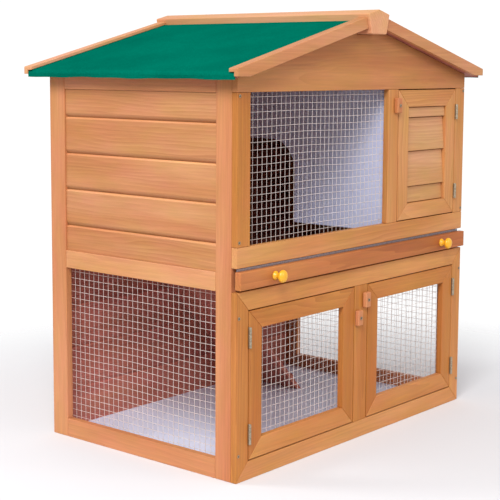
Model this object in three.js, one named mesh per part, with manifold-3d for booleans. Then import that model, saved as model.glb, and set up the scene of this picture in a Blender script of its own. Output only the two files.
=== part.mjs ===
// Two-storey wooden rabbit hutch with a green felt gable roof, wire mesh sides, three doors and a tray.
// Millimetres, +Z up, +X to the right seen from the front, the front faces -Y.
// The origin is on the ground under the middle of the ridge.
import * as THREE from 'three';
import Module from 'manifold-3d';
import { mergeVertices } from 'three/addons/utils/BufferGeometryUtils.js';

const wasm = await Module();
wasm.setup();

// ---- driving dimensions ----
const GAP = 0.3;                  // clearance left between neighbouring pieces
const HALF_W = 362;               // half the width of the body
const FRONT = -237;               // front face of the front frames
const REAR = 225;                 // rear face of the body
const FRAME_T = 12;               // thickness of the front frames, the doors and the rear wall
const SIDE_T = 14;                // thickness of the side walls
const FRONT_IN = FRONT + FRAME_T; // back face of the front frames
const REAR_IN = REAR - FRAME_T;   // inner face of the rear wall

const ROOF_T = 0.2586;            // rise of the roof per unit of width
const ROOF_UNDER = 783.5;         // underside of the roof boards, carried on to the middle
const BOARD_TOP = 793.0;          // top of the roof boards, carried on to the middle
const FELT_LOW = 793.35;          // underside of the felt, carried on to the middle
const FELT_TOP = 795.1;           // top of the felt, carried on to the middle
const LIP_LOW = 795.4;            // underside of the bargeboard lips, carried on to the middle
const LIP_TOP = 801.63;           // top of the bargeboards, carried on to the middle
const BARGE_LOW = 779.93;         // lower edge of the bargeboards, carried on to the middle
const BARGE_END = 391;            // half the width over the bargeboards
const BARGE_FOOT = 687;           // height of the level cut under each bargeboard's eave end
const EAVE_END = 389;             // half the width over the felt
const FELT_DROP = 682;            // lower edge of the felt folded down at the eaves
const RIDGE_HALF = 268;           // half the length of the ridge beam
const RIDGE_APEX = 808;
const RIDGE_SHOULDER = [33, 799.5];
const RIDGE_FOOT = [24, 763];

const POST_REAR_W = 40;           // width of the rear corner posts seen from the side
const POST_FRONT_Y = -190;        // inner edge of the front corner posts
const SIDE_BOTTOM_TOP = 35;       // top of the side bottom rails
const MID_LOW = 326;              // side mid rails
const MID_TOP = 359;
const SIDE_TOP_LOW = 660;         // underside of the side top rails
const CLAD_PITCH = 67.4;          // height of one cladding board
const CLAD_FIRST = 406.5;         // lowest joint between cladding boards

const UP_LOW = 368.7;             // lower edge of the upper front frame
const UP_SILL = 403.5;            // bottom of the window and nest openings
const UP_HEAD = 661;              // top of the window and nest openings
const UP_STILE = 34;              // width of the upper outer stiles
const DIVIDER = [82, 116];        // left and right edges of the upper divider
const LOW_SILL = 32.5;            // bottom of the lower door openings
const LOW_HEAD = 295;             // top of the lower door openings
const LOW_TOP = 328;              // top of the lower front frame
const LOW_STILE = 31.5;           // width of the lower outer stiles
const CENTRE_HALF = 20.5;         // half the width of the lower centre stile
const DOOR_GAP = 2;               // gap all round each door
const DOOR_MEMBER = 34;           // width of the lower doors' frame members

const HINGE_R = 2.75;             // radius of the hinge barrels
const HINGE_Y = FRONT - 3.05;     // hinge axes, just in front of the doors
const LEAF_T = 0.7;               // thickness of the hinge leaves

const BUTTON = [29, 16, 8.5];     // length, width and thickness of the turn buttons
const FLOOR_TOP = 331;            // top of the upper floor
const FLOOR_LOW = 322;            // underside of the upper floor
const HOLE = [-132, 57, -22];     // left, right and front edges of the ramp hole
const BASE_TOP = 8;               // top of the lower floor
const PARTITION_X = [92, 100];    // faces of the partition beside the nest

const COLOURS = {
  post: 0xe2a06c, frame: 0xcb8449, drawer: 0xb46b43, gable: 0xb9703f, clad: 0xdf9a63,
  felt: 0x00796a, mesh: 0xb9b4ae, metal: 0xb7b6bc, knob: 0xf2c02e, inside: 0x7a4028,
  lining: 0xc9c7dc, hinge: 0xb59a63, ramp: 0x9a5a34,
};
const group = new THREE.Group();
group.name = 'rabbit_hutch';

// ---- helpers ----
function add(name, geometry, colour, roughness = 0.7, metalness = 0) {
  const material = new THREE.MeshStandardMaterial({ color: colour, roughness, metalness });
  const mesh = new THREE.Mesh(geometry, material);
  mesh.name = name;
  group.add(mesh);
}

function box(x, y, z) {
  const g = new THREE.BoxGeometry(x[1] - x[0], y[1] - y[0], z[1] - z[0]);
  g.translate((x[0] + x[1]) / 2, (y[0] + y[1]) / 2, (z[0] + z[1]) / 2);
  return g;
}

function extrude(points, depth, holes = []) {
  const shape = new THREE.Shape(points.map(([a, b]) => new THREE.Vector2(a, b)));
  for (const hole of holes) {
    shape.holes.push(new THREE.Path(hole.map(([a, b]) => new THREE.Vector2(a, b))));
  }
  return new THREE.ExtrudeGeometry(shape, { depth, bevelEnabled: false, steps: 1 });
}

// an outline in X and Z, carried from y0 to y1
function prismY(points, y0, y1, holes = []) {
  const g = extrude(points, y1 - y0, holes);
  g.rotateX(Math.PI / 2);
  g.translate(0, y1, 0);
  return g;
}

// an outline in X and Y, carried from z0 to z1
function prismZ(points, z0, z1, holes = []) {
  const g = extrude(points, z1 - z0, holes);
  g.translate(0, 0, z0);
  return g;
}

function rect(x, z) {
  return [[x[0], z[0]], [x[1], z[0]], [x[1], z[1]], [x[0], z[1]]];
}

function solid(geometry) {
  const bare = geometry.clone();
  bare.deleteAttribute('normal');
  bare.deleteAttribute('uv');
  const merged = mergeVertices(bare, 1e-4);
  return new wasm.Manifold(new wasm.Mesh({
    numProp: 3,
    vertProperties: new Float32Array(merged.attributes.position.array),
    triVerts: new Uint32Array(merged.index.array),
  }));
}

function geometryOf(manifold) {
  const mesh = manifold.getMesh();
  const g = new THREE.BufferGeometry();
  g.setAttribute('position', new THREE.BufferAttribute(new Float32Array(mesh.vertProperties), 3));
  g.setIndex(new THREE.BufferAttribute(new Uint32Array(mesh.triVerts), 1));
  const flat = g.toNonIndexed();
  flat.computeVertexNormals();
  return flat;
}

function union(...parts) {
  return geometryOf(parts.map(solid).reduce((a, b) => a.add(b)));
}

// height of a roof line at a distance x from the middle
function roofAt(line, x) {
  return line - ROOF_T * Math.abs(x);
}

// where a roof line meets the slanting side of the ridge beam, with a clearance
function ridgeMeet(line, clearance = 0.5) {
  const k = (RIDGE_SHOULDER[0] - RIDGE_FOOT[0]) / (RIDGE_SHOULDER[1] - RIDGE_FOOT[1]);
  const x = (RIDGE_FOOT[0] + clearance + (line - RIDGE_FOOT[1]) * k) / (1 + ROOF_T * k);
  return [x, roofAt(line, x)];
}

function mirrored(points, side) {
  const flipped = points.map(([x, z]) => [x * side, z]);
  return side < 0 ? flipped.reverse() : flipped;
}

// ---- side walls ----
function sideMember(name, side, y, z, slopedTop) {
  const top = slopedTop ? [roofAt(ROOF_UNDER - 0.5, HALF_W), roofAt(ROOF_UNDER - 0.5, HALF_W - SIDE_T)] : [z[1], z[1]];
  const outline = [[HALF_W - SIDE_T, z[0]], [HALF_W, z[0]], [HALF_W, top[0]], [HALF_W - SIDE_T, top[1]]];
  add(name, prismY(mirrored(outline, side), y[0], y[1]), COLOURS.post);
}

// cladding boards: each board's lower edge is rounded under, over the eased upper edge of the next
function claddingOutline() {
  const face = HALF_W - 3;
  const points = [[face - 8, MID_TOP + GAP], [face, MID_TOP + GAP]];
  for (let k = 0; k < 4; k += 1) {
    const joint = CLAD_FIRST + CLAD_PITCH * k;
    points.push([face, joint - 3], [face - 0.9, joint - 1.3], [face - 2.2, joint - 0.2], [face - 4.4, joint + 0.3]);
    points.push([face - 3.3, joint + 1.5], [face - 1.8, joint + 3.6], [face - 0.7, joint + 5.7], [face, joint + 8]);
  }
  points.push([face, SIDE_TOP_LOW - GAP], [face - 8, SIDE_TOP_LOW - GAP]);
  return points;
}

function sideWall(prefix, side) {
  const front = [FRONT_IN + GAP, POST_FRONT_Y];
  const rear = [REAR - POST_REAR_W, REAR];
  const between = [POST_FRONT_Y + GAP, REAR - POST_REAR_W - GAP];
  sideMember(`${prefix}_rear_post`, side, rear, [0, 0], true);
  sideMember(`${prefix}_front_post`, side, front, [0, 0], true);
  sideMember(`${prefix}_top_rail`, side, between, [SIDE_TOP_LOW, 0], true);
  sideMember(`${prefix}_mid_rail`, side, between, [MID_LOW, MID_TOP], false);
  sideMember(`${prefix}_bottom_rail`, side, between, [0, SIDE_BOTTOM_TOP], false);
  add(`${prefix}_cladding`, prismY(mirrored(claddingOutline(), side), between[0], between[1]), COLOURS.clad);
  const inner = HALF_W - SIDE_T - GAP;
  const span = [side * inner, side * (inner - 1.4)].sort((a, b) => a - b);
  add(`${prefix}_mesh`, box(span, [-208, 205], [12, 331]), COLOURS.mesh, 0.4, 0.7);
}
sideWall('left', -1);
sideWall('right', 1);

// ---- rear wall ----
const rearHalf = HALF_W - SIDE_T - GAP;

// an outline that rises to the roof with a notch for the ridge beam
function gableOutline(half, low) {
  const meet = ridgeMeet(ROOF_UNDER - 0.5);
  const foot = [RIDGE_FOOT[0] + 0.5, RIDGE_FOOT[1] - 0.5];
  const right = [[half, low], [half, roofAt(ROOF_UNDER - 0.5, half)], meet, foot];
  return [...right, ...right.map(([x, z]) => [-x, z]).reverse()];
}
add('rear_lower_panel', box([-rearHalf, rearHalf], [REAR_IN, REAR], [0, MID_LOW - GAP]), COLOURS.inside);
add('rear_mid_rail', box([-rearHalf, rearHalf], [REAR_IN, REAR], [MID_LOW, MID_TOP]), COLOURS.inside);
add('rear_upper_panel', prismY(gableOutline(rearHalf, MID_TOP + GAP), REAR_IN, REAR), COLOURS.inside);

// ---- upper front frame ----
const frontY = [FRONT, FRONT_IN];
const upZ = [UP_SILL + GAP, UP_HEAD - GAP];
add('upper_left_stile', box([-HALF_W, UP_STILE - HALF_W], frontY, upZ), COLOURS.frame);
add('upper_divider', box(DIVIDER, frontY, upZ), COLOURS.frame);
add('upper_right_stile', box([HALF_W - UP_STILE, HALF_W], frontY, upZ), COLOURS.frame);
add('upper_bottom_rail', box([-HALF_W, HALF_W], frontY, [UP_LOW, UP_SILL]), COLOURS.frame);
add('gable_board', prismY(gableOutline(HALF_W, UP_HEAD), FRONT, FRONT_IN), COLOURS.gable);
add('window_mesh', box([-336, DIVIDER[0] + 9], [FRONT_IN + GAP, FRONT_IN + GAP + 1.4], [395, 669]),
  COLOURS.mesh, 0.4, 0.7);

// ---- lower front frame, mitred at its outer corners ----
function lowerFrame() {
  const inner = HALF_W - LOW_STILE;
  const slip = 0.45;
  const stile = [[HALF_W, 0], [HALF_W, LOW_TOP], [inner, LOW_HEAD], [inner, LOW_SILL]];
  add('lower_left_stile', prismY(mirrored(stile, -1), FRONT, FRONT_IN), COLOURS.frame);
  add('lower_right_stile', prismY(stile, FRONT, FRONT_IN), COLOURS.frame);
  const low = [[slip - HALF_W, 0], [HALF_W - slip, 0], [inner - slip, LOW_SILL], [slip - inner, LOW_SILL]];
  const top = [[slip - inner, LOW_HEAD], [inner - slip, LOW_HEAD], [HALF_W - slip, LOW_TOP], [slip - HALF_W, LOW_TOP]];
  add('lower_bottom_rail', prismY(low, FRONT, FRONT_IN), COLOURS.frame);
  add('lower_top_rail', prismY(top, FRONT, FRONT_IN), COLOURS.frame);
  add('lower_centre_stile', box([-CENTRE_HALF, CENTRE_HALF], frontY, [LOW_SILL + GAP, LOW_HEAD - GAP]), COLOURS.frame);
}
lowerFrame();

// ---- doors ----
function doorFrame(name, x, z, members) {
  const outer = rect(x, z);
  const hole = rect([x[0] + members.side, x[1] - members.side], [z[0] + members.low, z[1] - members.top]).reverse();
  add(name, prismY(outer, FRONT, FRONT_IN, [hole]), COLOURS.frame);
}

function lowerDoor(prefix, x) {
  const z = [LOW_SILL + DOOR_GAP, LOW_HEAD - DOOR_GAP];
  doorFrame(`${prefix}_door_frame`, x, z, { side: DOOR_MEMBER, low: DOOR_MEMBER, top: 32.5 });
  const reach = DOOR_MEMBER - 10;
  add(`${prefix}_door_mesh`, box([x[0] + reach, x[1] - reach], [FRONT_IN + GAP, FRONT_IN + GAP + 1.4],
    [z[0] + reach, z[1] - reach]), COLOURS.mesh, 0.4, 0.7);
}
const lowerOuter = HALF_W - LOW_STILE - DOOR_GAP;
const lowerInner = CENTRE_HALF + DOOR_GAP;
lowerDoor('left', [-lowerOuter, -lowerInner]);
lowerDoor('right', [lowerInner, lowerOuter]);

const nestX = [DIVIDER[1] + DOOR_GAP, HALF_W - UP_STILE - DOOR_GAP];
const nestZ = [UP_SILL + DOOR_GAP, UP_HEAD - DOOR_GAP];
const NEST = { side: 35, low: 31, top: 33 };
doorFrame('nest_door_frame', nestX, nestZ, NEST);

// the nest door's boards lie in its frame, each leaning back so that the board above overhangs it
function nestBoards() {
  const face = FRONT + 3;
  const lean = 5.6 / 67;
  const z0 = nestZ[0] + NEST.low + GAP;
  const z1 = nestZ[1] - NEST.top - GAP;
  const joints = [469 - 67, 469, 538.5, 605];
  const outline = [[face + 8, z0], [face + lean * (z0 - joints[0]), z0]];
  for (let k = 1; k < joints.length; k += 1) {
    outline.push([face + lean * (joints[k] - joints[k - 1]), joints[k]], [face, joints[k]]);
  }
  outline.push([face + lean * (z1 - joints[3]), z1], [face + 8, z1]);
  const g = extrude(outline, nestX[1] - nestX[0] - 2 * (NEST.side + GAP));
  g.rotateX(Math.PI / 2);
  g.rotateZ(Math.PI / 2);
  g.translate(nestX[0] + NEST.side + GAP, 0, 0);
  add('nest_door_boards', g, COLOURS.frame);
}
nestBoards();

// ---- hinges: a barrel in front of the door gap and the leaf let into the stile's edge ----
function hinge(name, x, side, z, length) {
  const points = [];
  const leafOuter = side * LEAF_T;
  const leafEnd = FRONT_IN - 1 - HINGE_Y;
  const start = Math.acos(0);
  const spread = Math.asin(LEAF_T / HINGE_R);
  const turn = 2 * Math.PI - spread;
  for (let i = 0; i <= 24; i += 1) {
    const a = start + side * (turn * i) / 24;
    points.push([HINGE_R * Math.cos(a), HINGE_R * Math.sin(a)]);
  }
  points.push([leafOuter, leafEnd], [0, leafEnd]);
  const outline = points.map(([px, py]) => [x + px, HINGE_Y + py]);
  const shape = side < 0 ? outline.slice().reverse() : outline;
  add(name, prismZ(shape, z - length / 2, z + length / 2), COLOURS.hinge, 0.35, 0.8);
}
const lowHingeX = HALF_W - LOW_STILE - DOOR_GAP / 2;
hinge('left_door_hinge_top', -lowHingeX, -1, 248, 36);
hinge('left_door_hinge_bottom', -lowHingeX, -1, 80, 36);
hinge('right_door_hinge_top', lowHingeX, 1, 248, 36);
hinge('right_door_hinge_bottom', lowHingeX, 1, 80, 36);
const nestHingeX = HALF_W - UP_STILE - DOOR_GAP / 2;
hinge('nest_door_hinge_top', nestHingeX, 1, 613, 30);
hinge('nest_door_hinge_bottom', nestHingeX, 1, 450, 30);

// ---- turn buttons, stored upright so that every door is free ----
function turnButton(name, x, z) {
  const y = FRONT - 0.4;
  add(name, box([x - BUTTON[1] / 2, x + BUTTON[1] / 2], [y - BUTTON[2], y], [z - BUTTON[0] / 2, z + BUTTON[0] / 2]),
    COLOURS.post);
}
turnButton('nest_button', 108.2, 630);
turnButton('right_door_button', 12.5, 265.5);
turnButton('left_door_button', -12, 234);

// ---- sliding tray ----
function trayPan() {
  const half = 345;
  const front = FRONT + 5.3;
  const rear = FRONT + 205;
  const outer = solid(box([-half, half], [front, rear], [331.5, 360]));
  const inner = solid(box([1 - half, half - 1], [front + 1, rear - 1], [332.5, 380]));
  const lip = solid(box([-355, 355], [front, front + 1], [332, 367]));
  add('tray_pan', geometryOf(outer.subtract(inner).add(lip)), COLOURS.metal, 0.4, 0.7);
}
trayPan();
add('tray_front', box([1 - HALF_W, HALF_W - 1], [FRONT - 8, FRONT + 5], [332, 363]), COLOURS.drawer);

function knob(name, x) {
  const profile = [[0, 0], [8, 0], [8, 2.2], [5.2, 5], [4.6, 8], [5.6, 11], [9.2, 13.2], [11, 15.6], [11, 17.8],
    [9.4, 20], [5.5, 21.4], [0, 22]];
  const g = new THREE.LatheGeometry(profile.map(([r, h]) => new THREE.Vector2(r, h)), 40);
  g.rotateX(Math.PI);
  g.translate(x, FRONT - 8.3, 348);
  add(name, g, COLOURS.knob, 0.35);
}
knob('tray_knob_left', -270);
knob('tray_knob_right', 270);

// ---- inside ----
const innerHalf = 345.9;
const innerFront = FRONT_IN + 3;
add('upper_floor', prismZ([[-innerHalf, innerFront], [innerHalf, innerFront], [innerHalf, REAR_IN - GAP],
  [HOLE[1], REAR_IN - GAP], [HOLE[1], HOLE[2]], [HOLE[0], HOLE[2]], [HOLE[0], REAR_IN - GAP],
  [-innerHalf, REAR_IN - GAP]], FLOOR_LOW, FLOOR_TOP), COLOURS.inside);
add('lower_floor', box([-347.4, 347.4], [FRONT_IN + 0.6, REAR_IN - GAP], [2, BASE_TOP]), COLOURS.lining);

// the partition stands on the side rails' level and has a round-topped doorway open at its foot
function partition() {
  const rise = 62;
  const top = 555;
  const y0 = -2;
  const y1 = 171;
  const low = 386;
  const points = [[innerFront - 0.5, low], [y0, low]];
  for (let i = 0; i <= 8; i += 1) {
    const a = Math.PI - (Math.PI / 2) * (i / 8);
    points.push([y0 + rise + rise * Math.cos(a), top - rise + rise * Math.sin(a)]);
  }
  for (let i = 0; i <= 8; i += 1) {
    const a = Math.PI / 2 - (Math.PI / 2) * (i / 8);
    points.push([y1 - rise + rise * Math.cos(a), top - rise + rise * Math.sin(a)]);
  }
  points.push([y1, low], [REAR_IN - GAP, low], [REAR_IN - GAP, 690], [innerFront - 0.5, 690]);
  const g = extrude(points, PARTITION_X[1] - PARTITION_X[0]);
  g.rotateX(Math.PI / 2);
  g.rotateZ(Math.PI / 2);
  g.translate(PARTITION_X[0], 0, 0);
  add('partition', g, COLOURS.lining);
}
partition();

// the ramp rises to the left at 45 degrees into the floor hole, with a cleat at every step
function ramp() {
  const walk = 200;
  const under = 187.3;
  const foot = BASE_TOP + GAP;
  const points = [[under - foot, foot], [walk - foot, foot]];
  const along = Math.SQRT1_2;
  for (let k = 0; k < 8; k += 1) {
    const z = 38 + 35 * k;
    const x = walk - z;
    points.push([x, z], [x + 4 * along, z + 4 * along], [x - 4 * along, z + 12 * along], [x - 8 * along, z + 8 * along]);
  }
  points.push([walk - FLOOR_TOP, FLOOR_TOP], [HOLE[0] + GAP, FLOOR_TOP], [HOLE[0] + GAP, under - HOLE[0] - GAP]);
  add('ramp', prismY(points, 51, 206), COLOURS.ramp);
}
ramp();

// ---- roof ----
const roofY = [-253.7, 253.7];

function roofSide(prefix, side) {
  const boards = [ridgeMeet(ROOF_UNDER), [EAVE_END - 2, roofAt(ROOF_UNDER, EAVE_END - 2)],
    [EAVE_END - 2, roofAt(BOARD_TOP, EAVE_END - 2)], ridgeMeet(BOARD_TOP)];
  add(`${prefix}_roof_panel`, prismY(mirrored(boards, side), roofY[0], roofY[1]), COLOURS.gable);
  const fold = EAVE_END - 1.7;
  const felt = [ridgeMeet(FELT_LOW), [fold, roofAt(FELT_LOW, fold)], [fold, FELT_DROP], [EAVE_END, FELT_DROP],
    [EAVE_END, roofAt(FELT_TOP, EAVE_END)], ridgeMeet(FELT_TOP)];
  add(`${prefix}_roof_felt`, prismY(mirrored(felt, side), roofY[0], roofY[1]), COLOURS.felt, 0.9);
  bargeboard(`${prefix}_front_bargeboard`, side, -1);
  bargeboard(`${prefix}_rear_bargeboard`, side, 1);
}

// an upright board with a lip lying over the edge of the felt
function bargeboard(name, side, end) {
  const turn = (BARGE_LOW - BARGE_FOOT) / ROOF_T;
  const leg = [ridgeMeet(BARGE_LOW), [turn, BARGE_FOOT], [BARGE_END, BARGE_FOOT],
    [BARGE_END, roofAt(LIP_TOP, BARGE_END)], ridgeMeet(LIP_TOP)];
  const lip = [ridgeMeet(LIP_LOW), [BARGE_END, roofAt(LIP_LOW, BARGE_END)],
    [BARGE_END, roofAt(LIP_TOP, BARGE_END)], ridgeMeet(LIP_TOP)];
  const legY = [254 * end, 263 * end].sort((a, b) => a - b);
  const lipY = [243 * end, 263 * end].sort((a, b) => a - b);
  add(name, union(prismY(mirrored(leg, side), legY[0], legY[1]), prismY(mirrored(lip, side), lipY[0], lipY[1])),
    COLOURS.frame);
}
roofSide('left', -1);
roofSide('right', 1);
add('ridge_beam', prismY([RIDGE_FOOT, RIDGE_SHOULDER, [0, RIDGE_APEX], [-RIDGE_SHOULDER[0], RIDGE_SHOULDER[1]],
  [-RIDGE_FOOT[0], RIDGE_FOOT[1]]], -RIDGE_HALF, RIDGE_HALF), COLOURS.post);

export default group;
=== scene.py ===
import math
import bmesh
import bpy
from mathutils import Matrix, Vector


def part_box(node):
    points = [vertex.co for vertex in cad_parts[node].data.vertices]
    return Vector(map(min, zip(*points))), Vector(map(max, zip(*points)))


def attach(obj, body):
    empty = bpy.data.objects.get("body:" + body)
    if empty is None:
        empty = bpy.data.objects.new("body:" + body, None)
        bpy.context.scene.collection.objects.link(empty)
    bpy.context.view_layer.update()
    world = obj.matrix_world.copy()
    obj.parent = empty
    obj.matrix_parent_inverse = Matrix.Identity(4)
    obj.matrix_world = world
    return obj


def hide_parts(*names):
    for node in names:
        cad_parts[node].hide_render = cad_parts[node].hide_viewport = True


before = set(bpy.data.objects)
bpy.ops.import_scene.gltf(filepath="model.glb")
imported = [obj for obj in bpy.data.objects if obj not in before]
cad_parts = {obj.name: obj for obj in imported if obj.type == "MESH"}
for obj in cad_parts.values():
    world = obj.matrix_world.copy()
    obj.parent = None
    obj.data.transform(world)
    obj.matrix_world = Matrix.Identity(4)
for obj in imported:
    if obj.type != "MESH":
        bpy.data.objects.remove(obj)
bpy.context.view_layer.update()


# ---- side walls: corner posts and rails ----
# Planed softwood laths, 14 mm thick, stained honey brown on every face before they were joined.
# The arrises are lightly rounded, and each lath's grain runs along its length.
def srgb(code):
    parts = [int(code[i:i + 2], 16) / 255 for i in (1, 3, 5)]
    return [p / 12.92 if p <= 0.04045 else ((p + 0.055) / 1.055) ** 2.4 for p in parts] + [1.0]


def add_node(tree, kind, settings=None, inputs=None):
    node = tree.nodes.new(kind)
    for key, value in (settings or {}).items():
        setattr(node, key, value)
    for key, value in (inputs or {}).items():
        if isinstance(value, bpy.types.NodeSocket):
            tree.links.new(value, node.inputs[key])
        else:
            node.inputs[key].default_value = value
    return node


def new_finish(name, **sockets):
    finish = bpy.data.materials.new(name)
    finish.use_nodes = True
    tree = finish.node_tree
    surface = tree.nodes["Principled BSDF"]
    for key, value in sockets.items():
        surface.inputs[key.replace("_", " ")].default_value = value
    return finish, tree, surface


# Stained pine: growth rings about 6 mm apart show as faint darker bands that run with the grain,
# the stain drifts between ochre and pink over 30 to 80 mm, and streaks of fibre, drawn 3 mm wide
# so that they show, break up the satin sheen.
HONEY = ("#965425", "#BB7538", "#CF8E51")
# ROSY is the honey stain made pinker and less saturated: painted sheen for the side laths under the light
# from the left.
ROSY = ("#9F5A33", "#BD7649", "#CE8D60")
PALE = ("#A9683F", "#CB8A5A", "#D99F74")
TOWARDS_PINK = (0.04, -0.035, 0.11)
# Height of the painted shade above each board joint, and of the painted highlight on each board's upper
# edge.
PAINTED_JOINT_SHADE = 0.008
PAINTED_LIP_HIGHLIGHT = 0.003
lath_count = 0


def stained_pine(name, grain, tones, middle, board=None, figure=0.5):
    global lath_count
    lath_count += 1
    finish, tree, surface = new_finish(name, Roughness=0.5, IOR=1.5, Specular_IOR_Level=0.3)
    seat = add_node(tree, "ShaderNodeTexCoord").outputs["Object"]
    centred = add_node(tree, "ShaderNodeVectorMath", {"operation": "SUBTRACT"},
                       {0: seat, 1: tuple(middle)}).outputs[0]
    if board:
        # Each board of a panel is its own piece of timber, so its pattern jumps at the joint. Painted
        # shade darkens the recess at the foot of each board, and a painted highlight lightens each board's
        # upper edge.
        first_joint, pitch = board
        height = add_node(tree, "ShaderNodeSeparateXYZ", None, {0: seat}).outputs["Z"]
        above = add_node(tree, "ShaderNodeMath", {"operation": "SUBTRACT"}, {0: height, 1: first_joint})
        row = add_node(tree, "ShaderNodeMath", {"operation": "DIVIDE"}, {0: above.outputs[0], 1: pitch})
        whole = add_node(tree, "ShaderNodeMath", {"operation": "FLOOR"}, {0: row.outputs[0]})
        part = add_node(tree, "ShaderNodeMath", {"operation": "FRACT"}, {0: row.outputs[0]})
        under = add_node(tree, "ShaderNodeMapRange", None,
                         {"Value": part.outputs[0], "From Max": PAINTED_JOINT_SHADE / pitch, "To Min": 0.74})
        lip = add_node(tree, "ShaderNodeMapRange", None,
                       {"Value": part.outputs[0], "To Min": 1.0, "To Max": 1.22,
                        "From Min": 1 - 1.4 * PAINTED_LIP_HIGHLIGHT / pitch, "From Max": 1 - PAINTED_LIP_HIGHLIGHT / pitch})
        joint_shade_and_highlight = add_node(tree, "ShaderNodeMath", {"operation": "MULTIPLY"},
                              {0: under.outputs[0], 1: lip.outputs[0]}).outputs[0]
        jump = add_node(tree, "ShaderNodeTexWhiteNoise", {"noise_dimensions": "1D"},
                        {"W": whole.outputs[0]})
        reach = [0.07, 0.07, 0.07]
        reach[grain] = 2.0
        centred = add_node(tree, "ShaderNodeVectorMath", {"operation": "MULTIPLY_ADD"},
                           {0: jump.outputs["Color"], 1: reach, 2: centred}).outputs[0]
        lift = add_node(tree, "ShaderNodeMath", {"operation": "MULTIPLY"},
                        {0: whole.outputs[0], 1: -pitch})
        dropped = add_node(tree, "ShaderNodeCombineXYZ", None, {"Z": lift.outputs[0]})
        centred = add_node(tree, "ShaderNodeVectorMath", {"operation": "ADD"},
                           {0: centred, 1: dropped.outputs[0]}).outputs[0]
    pith = [0.045 * math.sin(lath_count * k) for k in (1.7, 2.9, 4.3)]
    pith[grain] = math.sin(lath_count * 5.1)
    stretch = [1.0, 1.0, 1.0]
    stretch[grain] = 0.12
    tilt = [0.0, 0.0, 0.0]
    tilt[(grain + 1) % 3] = 0.05 * math.cos(lath_count * 2.3)
    tilt[(grain + 2) % 3] = 0.05 * math.sin(lath_count * 3.1)
    laid = add_node(tree, "ShaderNodeMapping", None,
                    {"Vector": centred, "Location": pith, "Rotation": tilt, "Scale": stretch})
    wander = add_node(tree, "ShaderNodeTexNoise", None,
                      {"Vector": laid.outputs[0], "Scale": 16.0, "Detail": 3.0, "Roughness": 0.5})
    bent = add_node(tree, "ShaderNodeVectorMath", {"operation": "MULTIPLY_ADD"},
                    {0: wander.outputs["Color"], 1: (0.045, 0.045, 0.045), 2: laid.outputs[0]})
    rings = add_node(tree, "ShaderNodeTexWave",
                     {"wave_type": "RINGS", "rings_direction": "XYZ"[grain], "wave_profile": "SAW"},
                     {"Vector": bent.outputs[0], "Scale": 52.0, "Distortion": 0.0})
    blotch = add_node(tree, "ShaderNodeTexNoise", None,
                      {"Vector": laid.outputs[0], "Scale": 18.0, "Detail": 4.0, "Roughness": 0.6})
    strength = add_node(tree, "ShaderNodeMapRange", None,
                        {"Value": blotch.outputs["Fac"], "From Min": 0.35, "From Max": 0.65,
                         "To Min": 0.08 * figure, "To Max": figure})
    late = add_node(tree, "ShaderNodeMath", {"operation": "MULTIPLY"},
                    {0: rings.outputs["Fac"], 1: strength.outputs[0]})
    fine = [130.0, 130.0, 130.0]
    fine[grain] = 5.0
    fibre_seat = add_node(tree, "ShaderNodeMapping", None, {"Vector": centred, "Scale": fine})
    fibre = add_node(tree, "ShaderNodeTexNoise", None,
                     {"Vector": fibre_seat.outputs[0], "Scale": 2.2, "Detail": 5.0, "Roughness": 0.7})
    body = add_node(tree, "ShaderNodeValToRGB", None, {0: wander.outputs["Fac"]})
    body.color_ramp.elements[0].position = 0.32
    body.color_ramp.elements[0].color = srgb(tones[1])
    body.color_ramp.elements[1].position = 0.68
    body.color_ramp.elements[1].color = srgb(tones[2])
    ringed = add_node(tree, "ShaderNodeMix", {"data_type": "RGBA"},
                      {"Factor": late.outputs[0], 6: body.outputs[0], 7: srgb(tones[0])})
    strands = add_node(tree, "ShaderNodeMapRange", None,
                       {"Value": fibre.outputs["Fac"], "From Min": 0.3, "From Max": 0.72,
                        "To Min": 0.88, "To Max": 1.08})
    streaked = add_node(tree, "ShaderNodeVectorMath", {"operation": "SCALE"},
                        {0: ringed.outputs[2], "Scale": strands.outputs[0]})
    spread = [1.0, 1.0, 1.0]
    spread[grain] = 0.4
    drift_seat = add_node(tree, "ShaderNodeMapping", None,
                          {"Vector": centred, "Location": pith, "Scale": spread})
    drift = add_node(tree, "ShaderNodeTexNoise", None,
                     {"Vector": drift_seat.outputs[0], "Scale": 21.0, "Detail": 5.0, "Roughness": 0.62})
    pinker = add_node(tree, "ShaderNodeMapRange", None,
                      {"Value": drift.outputs["Fac"], "From Min": 0.32, "From Max": 0.68,
                       "To Min": -1.0, "To Max": 1.0})
    lean = add_node(tree, "ShaderNodeVectorMath", {"operation": "SCALE"},
                    {0: TOWARDS_PINK, "Scale": pinker.outputs[0]})
    stained = add_node(tree, "ShaderNodeVectorMath", {"operation": "MULTIPLY_ADD"},
                       {0: lean.outputs[0], 1: streaked.outputs[0], 2: streaked.outputs[0]})
    if board:
        stained = add_node(tree, "ShaderNodeVectorMath", {"operation": "SCALE"},
                           {0: stained.outputs[0], "Scale": joint_shade_and_highlight})
    tree.links.new(stained.outputs[0], surface.inputs["Base Color"])
    sheen = add_node(tree, "ShaderNodeMapRange", None,
                     {"Value": fibre.outputs["Fac"], "From Min": 0.3, "From Max": 0.7,
                      "To Min": 0.42, "To Max": 0.62})
    tree.links.new(sheen.outputs[0], surface.inputs["Roughness"])
    relief = add_node(tree, "ShaderNodeMath", {"operation": "ADD"},
                      {0: fibre.outputs["Fac"], 1: late.outputs[0]})
    bump = add_node(tree, "ShaderNodeBump", None,
                    {"Strength": 0.3, "Distance": 0.0003, "Height": relief.outputs[0]})
    tree.links.new(bump.outputs[0], surface.inputs["Normal"])
    return finish


def middle_of(node):
    lo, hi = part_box(node)
    return (lo + hi) / 2


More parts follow.
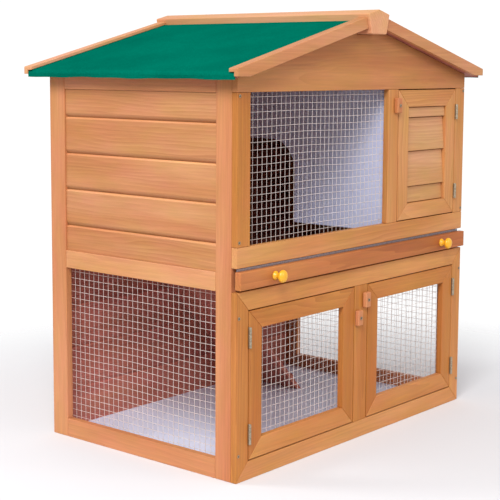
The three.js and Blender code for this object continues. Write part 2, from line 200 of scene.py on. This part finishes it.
def fitted(bm, name, finish, body, slot, *stands_for):
    mesh = bpy.data.meshes.new(name)
    bm.to_mesh(mesh)
    bm.free()
    mesh.materials.append(finish)
    piece = bpy.data.objects.new(name, mesh)
    bpy.context.scene.collection.objects.link(piece)
    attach(piece, body)
    if stands_for:
        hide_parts(*stands_for)
    return piece


def ease_edges(bm, width, segments=2):
    sharp = [e for e in bm.edges if len(e.link_faces) == 2 and e.calc_face_angle() > math.radians(20)]
    bmesh.ops.bevel(bm, geom=sharp, offset=width, segments=segments, profile=0.5, affect="EDGES",
                    material=-1, clamp_overlap=True)


def sawn_copy(node):
    bm = bmesh.new()
    bm.from_mesh(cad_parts[node].data)
    bmesh.ops.remove_doubles(bm, verts=bm.verts, dist=1e-5)
    bmesh.ops.dissolve_limit(bm, angle_limit=math.radians(1), verts=bm.verts, edges=bm.edges)
    return bm


def lath(node, grain, tones, slot, body="hutch", edge=0.0012, figure=0.5):
    bm = sawn_copy(node)
    ease_edges(bm, edge)
    pine = stained_pine(node + "_pine", grain, tones, middle_of(node), figure=figure)
    return fitted(bm, node + "_lath", pine, body, slot, node)


# The side laths take ROSY, a pinker, less saturated copy of the honey stain: painted sheen from the light
# on the sides.
for side in ("left", "right"):
    for post in ("rear_post", "front_post"):
        lath(f"{side}_{post}", 2, ROSY, "side_wood", figure=0.3)
    for rail in ("top_rail", "mid_rail", "bottom_rail"):
        lath(f"{side}_{rail}", 1, PALE if rail == "mid_rail" else ROSY, "side_wood", figure=0.3)


# ---- side cladding ----
# Pine boards 67.4 mm high let in between the posts. Each board's lower edge is rounded under, so a
# soft dark band shows above every joint with the next board's lit upper edge below it.
TAN = ("#985A33", "#BA7748", "#CB9164")
BOARD_PITCH = 0.0674
LOWEST_JOINT = 0.4065
for side in ("left", "right"):
    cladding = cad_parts[f"{side}_cladding"]
    low = middle_of(f"{side}_cladding")
    low.z = LOWEST_JOINT + BOARD_PITCH / 2
    # The board argument adds a painted shade band above every joint and a painted highlight on each
    # board's upper edge.
    pine = stained_pine(f"{side}_boards_pine", 1, TAN, low, (LOWEST_JOINT, BOARD_PITCH), 0.4)
    cladding.data.materials.clear()
    cladding.data.materials.append(pine)


# ---- front frames ----
# The upper frame has butt joints round the window and the nest door, under a plain gable board.
# The lower frame is mitred at its outer corners, with a centre stile between the two doors.
AMBER = ("#8B4A19", "#AF6728", "#C27E3D")
WHEAT = ("#98592B", "#BF7C41", "#D2965D")
for stile, tones in (("upper_left_stile", AMBER), ("upper_divider", WHEAT), ("upper_right_stile", WHEAT),
                     ("lower_left_stile", AMBER), ("lower_centre_stile", AMBER),
                     ("lower_right_stile", HONEY)):
    lath(stile, 2, tones, "front_wood", edge=0.001, figure=0.4)
for rail, tones in (("upper_bottom_rail", WHEAT), ("lower_top_rail", HONEY),
                    ("lower_bottom_rail", WHEAT)):
    lath(rail, 0, tones, "front_wood", edge=0.001, figure=0.4)
# The gable board is a darker tone than the frames below it: painted shade from the roof's overhang.
SHADED_GABLE_TONES = ("#8A4A22", "#B06E3C", "#C48650")
lath("gable_board", 0, SHADED_GABLE_TONES, "front_wood", edge=0.001, figure=0.25)


# ---- countersunk screws ----
# Zinc-plated wood screws, 6 mm across the head, hold the front frames to the corner posts.
# Each head stands a little proud of the face, with its cross recess showing.
def zinc_plate(name, tint, roughness, metallic=1.0):
    finish, tree, surface = new_finish(name, Metallic=metallic, Roughness=roughness)
    seat = add_node(tree, "ShaderNodeTexCoord").outputs["Object"]
    bloom = add_node(tree, "ShaderNodeTexNoise", None, {"Vector": seat, "Scale": 320.0, "Detail": 3.0})
    tint_ramp = add_node(tree, "ShaderNodeValToRGB", None, {0: bloom.outputs["Fac"]})
    tint_ramp.color_ramp.elements[0].position = 0.3
    tint_ramp.color_ramp.elements[0].color = srgb(tint[0])
    tint_ramp.color_ramp.elements[1].position = 0.7
    tint_ramp.color_ramp.elements[1].color = srgb(tint[1])
    tree.links.new(tint_ramp.outputs[0], surface.inputs["Base Color"])
    return finish


yellow_zinc = zinc_plate("yellow_zinc_plate", ("#928772", "#BDB29D"), 0.45, 0.8)


def screw_head(name, x, z, face, body, radius=0.003):
    bm = bmesh.new()
    bmesh.ops.create_cone(bm, cap_ends=True, segments=24, radius1=radius * 0.55, radius2=radius,
                          depth=0.0016)
    ease_edges(bm, 0.0003)
    for turn in (0, math.pi / 2):
        slot = bmesh.ops.create_cube(bm, size=1.0)
        bmesh.ops.scale(bm, vec=(radius * 1.25, radius * 0.26, 0.0005), verts=slot["verts"])
        bmesh.ops.rotate(bm, cent=(0, 0, 0), matrix=Matrix.Rotation(turn + 0.5, 3, "Z"),
                         verts=slot["verts"])
        bmesh.ops.translate(bm, vec=(0, 0, 0.0008), verts=slot["verts"])
        for f in {f for v in slot["verts"] for f in v.link_faces}:
            f.material_index = 1
    bmesh.ops.rotate(bm, cent=(0, 0, 0), matrix=Matrix.Rotation(math.pi / 2, 3, "X"), verts=bm.verts)
    bmesh.ops.translate(bm, vec=(x, face, z), verts=bm.verts)
    piece = fitted(bm, name, yellow_zinc, body, "hinge_metal")
    piece.data.materials.append(recess_shadow)
    return piece


recess_shadow, _, _ = new_finish("screw_recess_shadow", Metallic=0.6, Roughness=0.7)
recess_shadow.node_tree.nodes["Principled BSDF"].inputs["Base Color"].default_value = srgb("#5A4B38")
front_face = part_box("upper_left_stile")[0].y
edge_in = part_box("upper_left_stile")[0].x + 0.006
screw_heights = (0.655, 0.412, 0.047, 0.284)
for number, height in enumerate(screw_heights):
    for side, sign in (("left", 1), ("right", -1)):
        screw_head(f"{side}_frame_screw_{number}", sign * edge_in, height, front_face, "hutch")


# ---- welded wire mesh ----
# Galvanised wire 0.8 mm thick, welded at half-inch spacing, stapled behind the frames.
# Upright wires lie on one side of the level ones and are sunk into them at each weld. The sheet
# comes off a roll, so its rows wander by a millimetre or two between the edges that hold it.
WIRE_SPACING = 0.0127
WIRE_RADIUS = 0.00038
SINK = 0.00035
SPANS = 12
ROW_WANDER = 0.0021
COLUMN_WANDER = 0.0011
galvanised = zinc_plate("galvanised_wire", ("#D2C4BE", "#E9DDD7"), 0.5, 0.35)


def welded_wire(node, thin, body="hutch"):
    lo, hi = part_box(node)
    middle = (lo + hi) / 2
    across = [a for a in range(3) if a != thin]
    cells = [int((hi[a] - lo[a]) / WIRE_SPACING) for a in range(3)]
    bm = bmesh.new()
    for run, step in (across, across[::-1]):
        along = Vector([1.0 if a == run else 0.0 for a in range(3)])
        turn = Vector((0, 0, 1)).rotation_difference(along).to_matrix().to_4x4()
        for k in range(cells[step] + 1):
            centre = middle.copy()
            centre[step] += (k - cells[step] / 2) * WIRE_SPACING
            centre[thin] += SINK if run == 2 else -SINK
            bmesh.ops.create_cone(bm, cap_ends=True, segments=8, radius1=WIRE_RADIUS, radius2=WIRE_RADIUS,
                                  depth=cells[run] * WIRE_SPACING + 0.002,
                                  matrix=Matrix.Translation(centre) @ turn)
    for a in across:
        for k in range(1, SPANS):
            cut = middle.copy()
            cut[a] = lo[a] + (hi[a] - lo[a]) * k / SPANS
            normal = Vector([1.0 if b == a else 0.0 for b in range(3)])
            bmesh.ops.bisect_plane(bm, geom=bm.verts[:] + bm.edges[:] + bm.faces[:],
                                   plane_co=cut, plane_no=normal)
    flat = across[0]
    for v in bm.verts:
        held = 1.0
        for a in across:
            held *= max(0.0, math.sin(math.pi * (v.co[a] - lo[a]) / (hi[a] - lo[a])))
        level, height = v.co[flat], v.co.z
        v.co.z += ROW_WANDER * held * math.sin(17 * level + 6 * height + thin)
        v.co[flat] += COLUMN_WANDER * held * math.sin(15 * height - 8 * level + 2 * thin)
    return fitted(bm, node + "_wires", galvanised, body, "wire", node)


welded_wire("left_mesh", 0)
welded_wire("right_mesh", 0)
welded_wire("window_mesh", 1)
welded_wire("left_door_mesh", 1, "left_door")
welded_wire("right_door_mesh", 1, "right_door")


# ---- doors ----
# Each door is four pine laths mitred and glued at the corners, 12 mm thick and flush with the front.
# The nest door holds boards with a groove at every joint.
def mitred_frame(node, body, tones, foot_tones):
    lo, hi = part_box(node)
    inner = sorted({round(v.co.x, 5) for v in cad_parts[node].data.vertices})
    levels = sorted({round(v.co.z, 5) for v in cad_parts[node].data.vertices})
    x = [lo.x, inner[1], inner[2], hi.x]
    z = [lo.z, levels[1], levels[2], hi.z]
    seam = 0.00012
    members = {
        "left": (2, [(x[0], z[0] + seam), (x[1], z[1] + seam),
                     (x[1], z[2] - seam), (x[0], z[3] - seam)]),
        "right": (2, [(x[3], z[0] + seam), (x[3], z[3] - seam),
                      (x[2], z[2] - seam), (x[2], z[1] + seam)]),
        "bottom": (0, [(x[0] + seam, z[0]), (x[3] - seam, z[0]),
                       (x[2] - seam, z[1]), (x[1] + seam, z[1])]),
        "top": (0, [(x[0] + seam, z[3]), (x[1] + seam, z[2]),
                    (x[2] - seam, z[2]), (x[3] - seam, z[3])]),
    }
    for place, (grain, outline) in members.items():
        bm = bmesh.new()
        face = bm.faces.new([bm.verts.new((a, lo.y, b)) for a, b in outline])
        pushed = bmesh.ops.extrude_face_region(bm, geom=[face])
        bmesh.ops.translate(bm, vec=(0, hi.y - lo.y, 0),
                            verts=[g for g in pushed["geom"] if isinstance(g, bmesh.types.BMVert)])
        bmesh.ops.recalc_face_normals(bm, faces=bm.faces)
        ease_edges(bm, 0.001)
        middle = Vector((sum(a for a, _ in outline) / 4, lo.y, sum(b for _, b in outline) / 4))
        pine = stained_pine(f"{node}_{place}_pine", grain, foot_tones if place == "bottom" else tones,
                            middle, figure=0.4)
        fitted(bm, f"{node}_{place}", pine, body, "front_wood", node)


mitred_frame("left_door_frame", "left_door", AMBER, HONEY)
mitred_frame("right_door_frame", "right_door", AMBER, HONEY)
mitred_frame("nest_door_frame", "nest_door", WHEAT, WHEAT)


# ---- nest door boards ----
# Four short pine boards lie in the nest door's frame. Each one leans back towards its top, so the
# board above overhangs it. The joints are 2 mm wide in front and shut at the back.
SAND = ("#A1673B", "#C08653", "#CC9A6B")
lo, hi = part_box("nest_door_boards")
joints = [lo.z, 0.469, 0.5385, 0.605, hi.z]
full_board = 0.067
lean = 0.0056 / full_board
joint_gap = 0.0022
for number, (below, above) in enumerate(zip(joints, joints[1:])):
    foot = above - full_board if number == 0 else below
    bm = bmesh.new()
    bmesh.ops.create_cube(bm, size=1.0)
    bmesh.ops.scale(bm, vec=(hi.x - lo.x, hi.y - lo.y, above - below - joint_gap), verts=bm.verts)
    middle = Vector(((lo.x + hi.x) / 2, (lo.y + hi.y) / 2, (below + above) / 2))
    bmesh.ops.translate(bm, vec=middle, verts=bm.verts)
    for v in bm.verts:
        if v.co.y < middle.y:
            v.co.y = lo.y + lean * (v.co.z - foot)
        else:
            v.co.z += 0.001 if v.co.z > middle.z else -0.001
    ease_edges(bm, 0.0007)
    pine = stained_pine(f"nest_board_{number}_pine", 0, SAND, middle)
    fitted(bm, f"nest_board_{number}", pine, "nest_door", "front_wood", "nest_door_boards")


# ---- hinges ----
# Small steel butt hinges in dulled yellow zinc: three knuckles round a pin that stands in front of the
# door gap. One leaf is on the stile's edge and the other on the door's edge.
PIN_INSET = 0.00275
KNUCKLE_RADIUS = 0.00268
PIN_RADIUS = 0.0013
LEAF_THICK = 0.0006
LEAF_WIDE = 0.0125


def butt_hinge(node, door, side):
    lo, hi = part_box(node)
    barrel = Vector((lo.x + PIN_INSET if side < 0 else hi.x - PIN_INSET, lo.y + PIN_INSET, 0))
    length = hi.z - lo.z
    fixed = bmesh.new()
    moving = bmesh.new()
    for k, bm in ((0, fixed), (1, moving), (2, fixed)):
        knuckle = Matrix.Translation((barrel.x, barrel.y, lo.z + length * (k + 0.5) / 3))
        bmesh.ops.create_cone(bm, cap_ends=True, segments=24, radius1=KNUCKLE_RADIUS,
                              radius2=KNUCKLE_RADIUS, depth=length / 3 - 0.0005, matrix=knuckle)
    pin = Matrix.Translation((barrel.x, barrel.y, (lo.z + hi.z) / 2))
    bmesh.ops.create_cone(fixed, cap_ends=True, segments=20, radius1=PIN_RADIUS, radius2=PIN_RADIUS,
                          depth=length + 0.0008, matrix=pin)
    for bm, shift in ((fixed, side), (moving, -side)):
        ease_edges(bm, 0.0003)
        leaf = bmesh.ops.create_cube(bm, size=1.0)["verts"]
        bmesh.ops.scale(bm, vec=(LEAF_THICK, LEAF_WIDE, length - 0.0004), verts=leaf)
        bmesh.ops.translate(bm, vec=(barrel.x + shift * 0.00032, barrel.y + 0.0078, (lo.z + hi.z) / 2),
                            verts=leaf)
    fitted(fixed, node + "_stile_leaf", yellow_zinc, "hutch", "hinge_metal", node)
    fitted(moving, node + "_door_leaf", yellow_zinc, door, "hinge_metal")


for place in ("top", "bottom"):
    butt_hinge(f"left_door_hinge_{place}", "left_door", -1)
    butt_hinge(f"right_door_hinge_{place}", "right_door", 1)
    butt_hinge(f"nest_door_hinge_{place}", "nest_door", 1)


# ---- turn buttons ----
# Offcuts of the same pine, 29 by 16 mm, each turning on one round-headed screw in the stile.
# They stand upright when the doors are free and lie across the door's edge to hold it shut.
for button in ("nest_button", "left_door_button", "right_door_button"):
    lo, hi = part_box(button)
    lath(button, 2, ROSY, "front_wood", body=button, edge=0.0018)
    screw_head(button + "_screw", (lo.x + hi.x) / 2, (lo.z + hi.z) / 2, lo.y - 0.0004, button,
               radius=0.0034)


# ---- tray ----
# A folded galvanised pan slides on the upper floor behind a darker stained pine front.
# Two turned wooden knobs, lacquered pale yellow, pull it out.
RUSSET = ("#813E19", "#AB6130", "#C37B44")
lath("tray_front", 0, RUSSET, "drawer_wood", body="tray", edge=0.0015)
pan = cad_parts["tray_pan"]
pan.data.materials.clear()
pan.data.materials.append(zinc_plate("galvanised_sheet", ("#8F8E96", "#B9B8C2"), 0.45))

# Cellulose lacquer on beech: an even egg-yellow with a soft gloss and a faint turned texture.
lacquer, lacquer_tree, lacquer_face = new_finish("yellow_lacquer", Roughness=0.28, IOR=1.5)
seat = add_node(lacquer_tree, "ShaderNodeTexCoord").outputs["Object"]
patch = add_node(lacquer_tree, "ShaderNodeTexNoise", None,
                 {"Vector": seat, "Scale": 140.0, "Detail": 2.0})
yellow = add_node(lacquer_tree, "ShaderNodeValToRGB", None, {0: patch.outputs["Fac"]})
yellow.color_ramp.elements[0].color = srgb("#E39A12")
yellow.color_ramp.elements[1].color = srgb("#F6BC30")
lacquer_tree.links.new(yellow.outputs[0], lacquer_face.inputs["Base Color"])
for side in ("left", "right"):
    lo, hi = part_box(f"tray_knob_{side}")
    centre = (lo + hi) / 2
    bm = bmesh.new()
    profile = [(0.0, 0.0), (0.0078, 0.0), (0.0080, 0.0012), (0.0072, 0.0026), (0.0052, 0.0048),
               (0.0045, 0.0078), (0.0054, 0.0106), (0.0086, 0.0128), (0.0108, 0.0150),
               (0.0110, 0.0170), (0.0102, 0.0192), (0.0080, 0.0210), (0.0042, 0.0219), (0.0, 0.0220)]
    ring = [bm.verts.new((r, -d, 0)) for r, d in profile]
    lines = [bm.edges.new(pair) for pair in zip(ring, ring[1:])]
    bmesh.ops.spin(bm, geom=ring + lines, cent=(0, 0, 0), axis=(0, 1, 0), dvec=(0, 0, 0),
                   angle=2 * math.pi, steps=40, use_merge=True)
    bmesh.ops.remove_doubles(bm, verts=bm.verts, dist=1e-6)
    bmesh.ops.recalc_face_normals(bm, faces=bm.faces)
    for f in bm.faces:
        f.smooth = True
    bmesh.ops.translate(bm, vec=(centre.x, hi.y, centre.z), verts=bm.verts)
    fitted(bm, f"tray_knob_{side}_turned", lacquer, "tray", "knob", f"tray_knob_{side}")


# ---- rear wall ----
# Tongued boards close the back above and below a plain rail, with a narrow V planed at each joint.
# The weather side is stained like the side boards, and the inside faces are a darker red-brown, painted
# shade for the dim interior.
def boarded(node, pitch):
    lo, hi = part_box(node)
    base = lo.z
    count = math.ceil((hi.z - lo.z) / pitch)
    wall = bmesh.new()
    for k in range(count):
        bm = sawn_copy(node)
        for level, clear in ((base + k * pitch, "below"), (base + (k + 1) * pitch, "above")):
            if lo.z < level < hi.z:
                cut = bmesh.ops.bisect_plane(bm, geom=bm.verts[:] + bm.edges[:] + bm.faces[:],
                                             plane_co=(0, 0, level), plane_no=(0, 0, 1),
                                             clear_inner=clear == "below",
                                             clear_outer=clear == "above")
                rim = [g for g in cut["geom_cut"] if isinstance(g, bmesh.types.BMEdge)]
                bmesh.ops.edgeloop_fill(bm, edges=rim)
        bmesh.ops.recalc_face_normals(bm, faces=bm.faces)
        ease_edges(bm, 0.0012, 1)
        bm.normal_update()
        for f in bm.faces:
            f.material_index = 1 if f.normal.y > 0.5 else 0
        one = bpy.data.meshes.new("board")
        bm.to_mesh(one)
        bm.free()
        wall.from_mesh(one)
        bpy.data.meshes.remove(one)
    middle = Vector((0, middle_of(node).y, base + pitch / 2))
    # The inner faces take the dark red-brown as painted shade. Both faces also carry the painted joint
    # shade and highlight.
    finish = stained_pine(node + "_inner_pine", 0, INSIDE_SHADE_TONES, middle, (base, pitch))
    piece = fitted(wall, node + "_boards", finish, "hutch", "dark_wood", node)
    piece.data.materials.append(stained_pine(node + "_outer_pine", 0, TAN, middle, (base, pitch)))


# Dark red-brown for wood inside the hutch: painted shade standing in for the dim interior.
INSIDE_SHADE_TONES = ("#74352A", "#AB5F51", "#C27564")
boarded("rear_lower_panel", pitch=0.0814)
boarded("rear_upper_panel", pitch=0.0840)
# The rail's inner face takes the same painted shade.
rail = lath("rear_mid_rail", 0, INSIDE_SHADE_TONES, "dark_wood")
rail.data.materials.append(stained_pine("rear_mid_rail_outer_pine", 0, TAN, middle_of("rear_mid_rail")))
for face in rail.data.polygons:
    face.material_index = 1 if face.normal.y > 0.5 else 0


# ---- inside ----
# The living floor and the ramp are boards in the inside's dark red-brown, painted shade for the dim
# interior, and a pale painted board with a round-topped doorway parts off the nest. The run below stands
# on a pale painted board.
lath("upper_floor", 0, INSIDE_SHADE_TONES, "dark_wood", edge=0.0008)
lath("ramp", 0, INSIDE_SHADE_TONES, "dark_wood", edge=0.0008)

# Emulsion on board: dull lilac white with a slight brushed unevenness 20 to 30 mm across. The base
# board's emulsion is whiter than the partition's: painted light for the brighter floor.
def emulsion(name, dull, clean):
    finish, tree, surface = new_finish(name, Roughness=0.62, IOR=1.45)
    seat = add_node(tree, "ShaderNodeTexCoord").outputs["Object"]
    uneven = add_node(tree, "ShaderNodeTexNoise", None, {"Vector": seat, "Scale": 38.0, "Detail": 4.0})
    white = add_node(tree, "ShaderNodeValToRGB", None, {0: uneven.outputs["Fac"]})
    white.color_ramp.elements[0].color = srgb(dull)
    white.color_ramp.elements[1].color = srgb(clean)
    tree.links.new(white.outputs[0], surface.inputs["Base Color"])
    return finish


# The lower floor's whiter emulsion is painted light standing in for the stronger light on the floor.
for board, dull, clean in (("partition", "#D4DAFF", "#E0E6FF"), ("lower_floor", "#DCE4FF", "#E8EEFF")):
    bm = sawn_copy(board)
    ease_edges(bm, 0.0008)
    fitted(bm, board + "_painted", emulsion(board + "_emulsion", dull, clean), "hutch", "lining", board)


# ---- roof ----
# Two boarded slopes under green mineral felt that is folded down over the eaves.
# Bargeboards with a lip cover the felt's ends, and a keystone-shaped beam runs along the ridge.
for side in ("left", "right"):
    # The roof boards take the inside's dark red-brown, painted shade for the dim interior.
    lath(f"{side}_roof_panel", 1, INSIDE_SHADE_TONES, "dark_wood", edge=0.0008)
    lath(f"{side}_front_bargeboard", 0, TAN, "front_wood", edge=0.001, figure=0.3)
    lath(f"{side}_rear_bargeboard", 0, PALE, "front_wood", edge=0.001, figure=0.3)
lath("ridge_beam", 1, PALE, "front_wood", edge=0.0015, figure=0.3)

# Mineral roofing felt: crushed slate granules pressed in bitumen and dyed green. They are drawn 1.4 mm
# across, a little coarse so that they show, and they make the surface faintly speckled and quite dull.
felt, felt_tree, felt_face = new_finish("green_mineral_felt", Roughness=0.9, IOR=1.5,
                                        Specular_IOR_Level=0.0)
seat = add_node(felt_tree, "ShaderNodeTexCoord").outputs["Object"]
grit = add_node(felt_tree, "ShaderNodeTexVoronoi", None, {"Vector": seat, "Scale": 700.0})
drift = add_node(felt_tree, "ShaderNodeTexNoise", None,
                 {"Vector": seat, "Scale": 9.0, "Detail": 5.0, "Roughness": 0.6})
green = add_node(felt_tree, "ShaderNodeValToRGB", None, {0: drift.outputs["Fac"]})
green.color_ramp.elements[0].position = 0.3
green.color_ramp.elements[0].color = srgb("#005F4E")
green.color_ramp.elements[1].position = 0.7
green.color_ramp.elements[1].color = srgb("#006956")
speck = add_node(felt_tree, "ShaderNodeSeparateColor", None, {0: grit.outputs["Color"]})
shade = add_node(felt_tree, "ShaderNodeMapRange", None,
                 {"Value": speck.outputs[0], "To Min": 0.86, "To Max": 1.14})
dyed = add_node(felt_tree, "ShaderNodeVectorMath", {"operation": "SCALE"},
                {0: green.outputs[0], "Scale": shade.outputs[0]})
felt_tree.links.new(dyed.outputs[0], felt_face.inputs["Base Color"])
grains = add_node(felt_tree, "ShaderNodeBump", None,
                  {"Strength": 0.5, "Distance": 0.0005, "Height": grit.outputs["Distance"]})
felt_tree.links.new(grains.outputs[0], felt_face.inputs["Normal"])
FELT_THICK = 0.0017
STRIPS = 48
for side, sign in (("left", -1), ("right", 1)):
    bm = sawn_copy(f"{side}_roof_felt")
    lo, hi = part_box(f"{side}_roof_felt")
    eave = max(abs(lo.x), abs(hi.x))
    for reach, radius in ((eave, 0.0062), (eave - FELT_THICK, 0.0045)):
        fold = [e for e in bm.edges
                if all(abs(abs(v.co.x) - reach) < 1e-4 and v.co.z > lo.z + 0.004 for v in e.verts)
                and abs(e.verts[0].co.y - e.verts[1].co.y) > 0.1]
        bmesh.ops.bevel(bm, geom=fold, offset=radius, segments=5, profile=0.5, affect="EDGES", material=-1)
    for k in range(1, STRIPS):
        bmesh.ops.bisect_plane(bm, geom=bm.verts[:] + bm.edges[:] + bm.faces[:], plane_no=(0, 1, 0),
                               plane_co=(0, lo.y + (hi.y - lo.y) * k / STRIPS, 0))
    for v in bm.verts:
        if abs(v.co.x) > eave - 0.004 and v.co.z < lo.z + 0.004:
            v.co.z += 0.0006 * math.sin(v.co.y * 29 + sign) + 0.0004 * math.sin(v.co.y * 71)
            v.co.x -= sign * 0.0007 * (1 + math.sin(v.co.y * 23 + 2 * sign))
    fitted(bm, f"{side}_felt_sheet", felt, "hutch", "felt", f"{side}_roof_felt")


# ---- floor, light and camera ----
# A pale paper floor that fades out round the hutch, and an even white surround. One broad soft light
# stands at the left, with a weak one in front and a small one behind on the left.
bm = bmesh.new()
bmesh.ops.create_grid(bm, x_segments=1, y_segments=1, size=40)
ground_mesh = bpy.data.meshes.new("studio_floor")
bm.to_mesh(ground_mesh)
bm.free()
ground = bpy.data.objects.new("studio_floor", ground_mesh)
bpy.context.scene.collection.objects.link(ground)
paper, paper_tree, paper_face = new_finish("studio_paper", Roughness=0.95, Specular_IOR_Level=0.0)
paper_face.inputs["Base Color"].default_value = srgb("#DFDFE2")
seat = add_node(paper_tree, "ShaderNodeTexCoord").outputs["Object"]
away = add_node(paper_tree, "ShaderNodeVectorMath", {"operation": "LENGTH"}, {0: seat})
fade = add_node(paper_tree, "ShaderNodeMapRange", {"interpolation_type": "SMOOTHSTEP"},
                {"Value": away.outputs["Value"], "From Min": 0.5, "From Max": 1.3,
                 "To Min": 1.0, "To Max": 0.0})
paper_tree.links.new(fade.outputs[0], paper_face.inputs["Alpha"])
ground_mesh.materials.append(paper)

world = bpy.data.worlds.new("studio")
world.use_nodes = True
surround = world.node_tree.nodes["Background"]
surround.inputs["Color"].default_value = srgb("#FFFFFF")
seen = add_node(world.node_tree, "ShaderNodeLightPath")
level = add_node(world.node_tree, "ShaderNodeMapRange", None,
                 {"Value": seen.outputs["Is Camera Ray"], "To Min": 0.64, "To Max": 1.05})
world.node_tree.links.new(level.outputs[0], surround.inputs["Strength"])
bpy.context.scene.world = world
bpy.context.scene.view_settings.view_transform = "Standard"


def soft_light(name, place, power, width, target=(0, 0, 0.4)):
    lamp = bpy.data.lights.new(name, "AREA")
    lamp.energy = power
    lamp.size = width
    holder = bpy.data.objects.new(name, lamp)
    holder.location = place
    holder.rotation_euler = (Vector(target) - Vector(place)).to_track_quat("-Z", "Y").to_euler()
    bpy.context.scene.collection.objects.link(holder)


soft_light("broad_left", (-3.4, -2.0, 3.4), 212, 2.3)
soft_light("front_fill", (1.2, -4.6, 1.9), 50, 2.2)
soft_light("rear_left", (-2.4, 3.0, 3.0), 50, 1.2)

camera_data = bpy.data.cameras.new("studio_camera")
camera_data.sensor_width = 36
camera_data.lens = 89.874
camera_data.shift_y = -0.08
camera = bpy.data.objects.new("studio_camera", camera_data)
turned = Matrix.Rotation(math.radians(-50.041), 4, "Z") @ Matrix.Rotation(math.radians(90 - 6.604), 4, "X")
camera.matrix_world = (Matrix.Translation((-1.91654, -1.56754, 0.70487)) @ turned
                       @ Matrix.Rotation(math.radians(0.328), 4, "Z"))
bpy.context.scene.collection.objects.link(camera)
bpy.context.scene.camera = camera
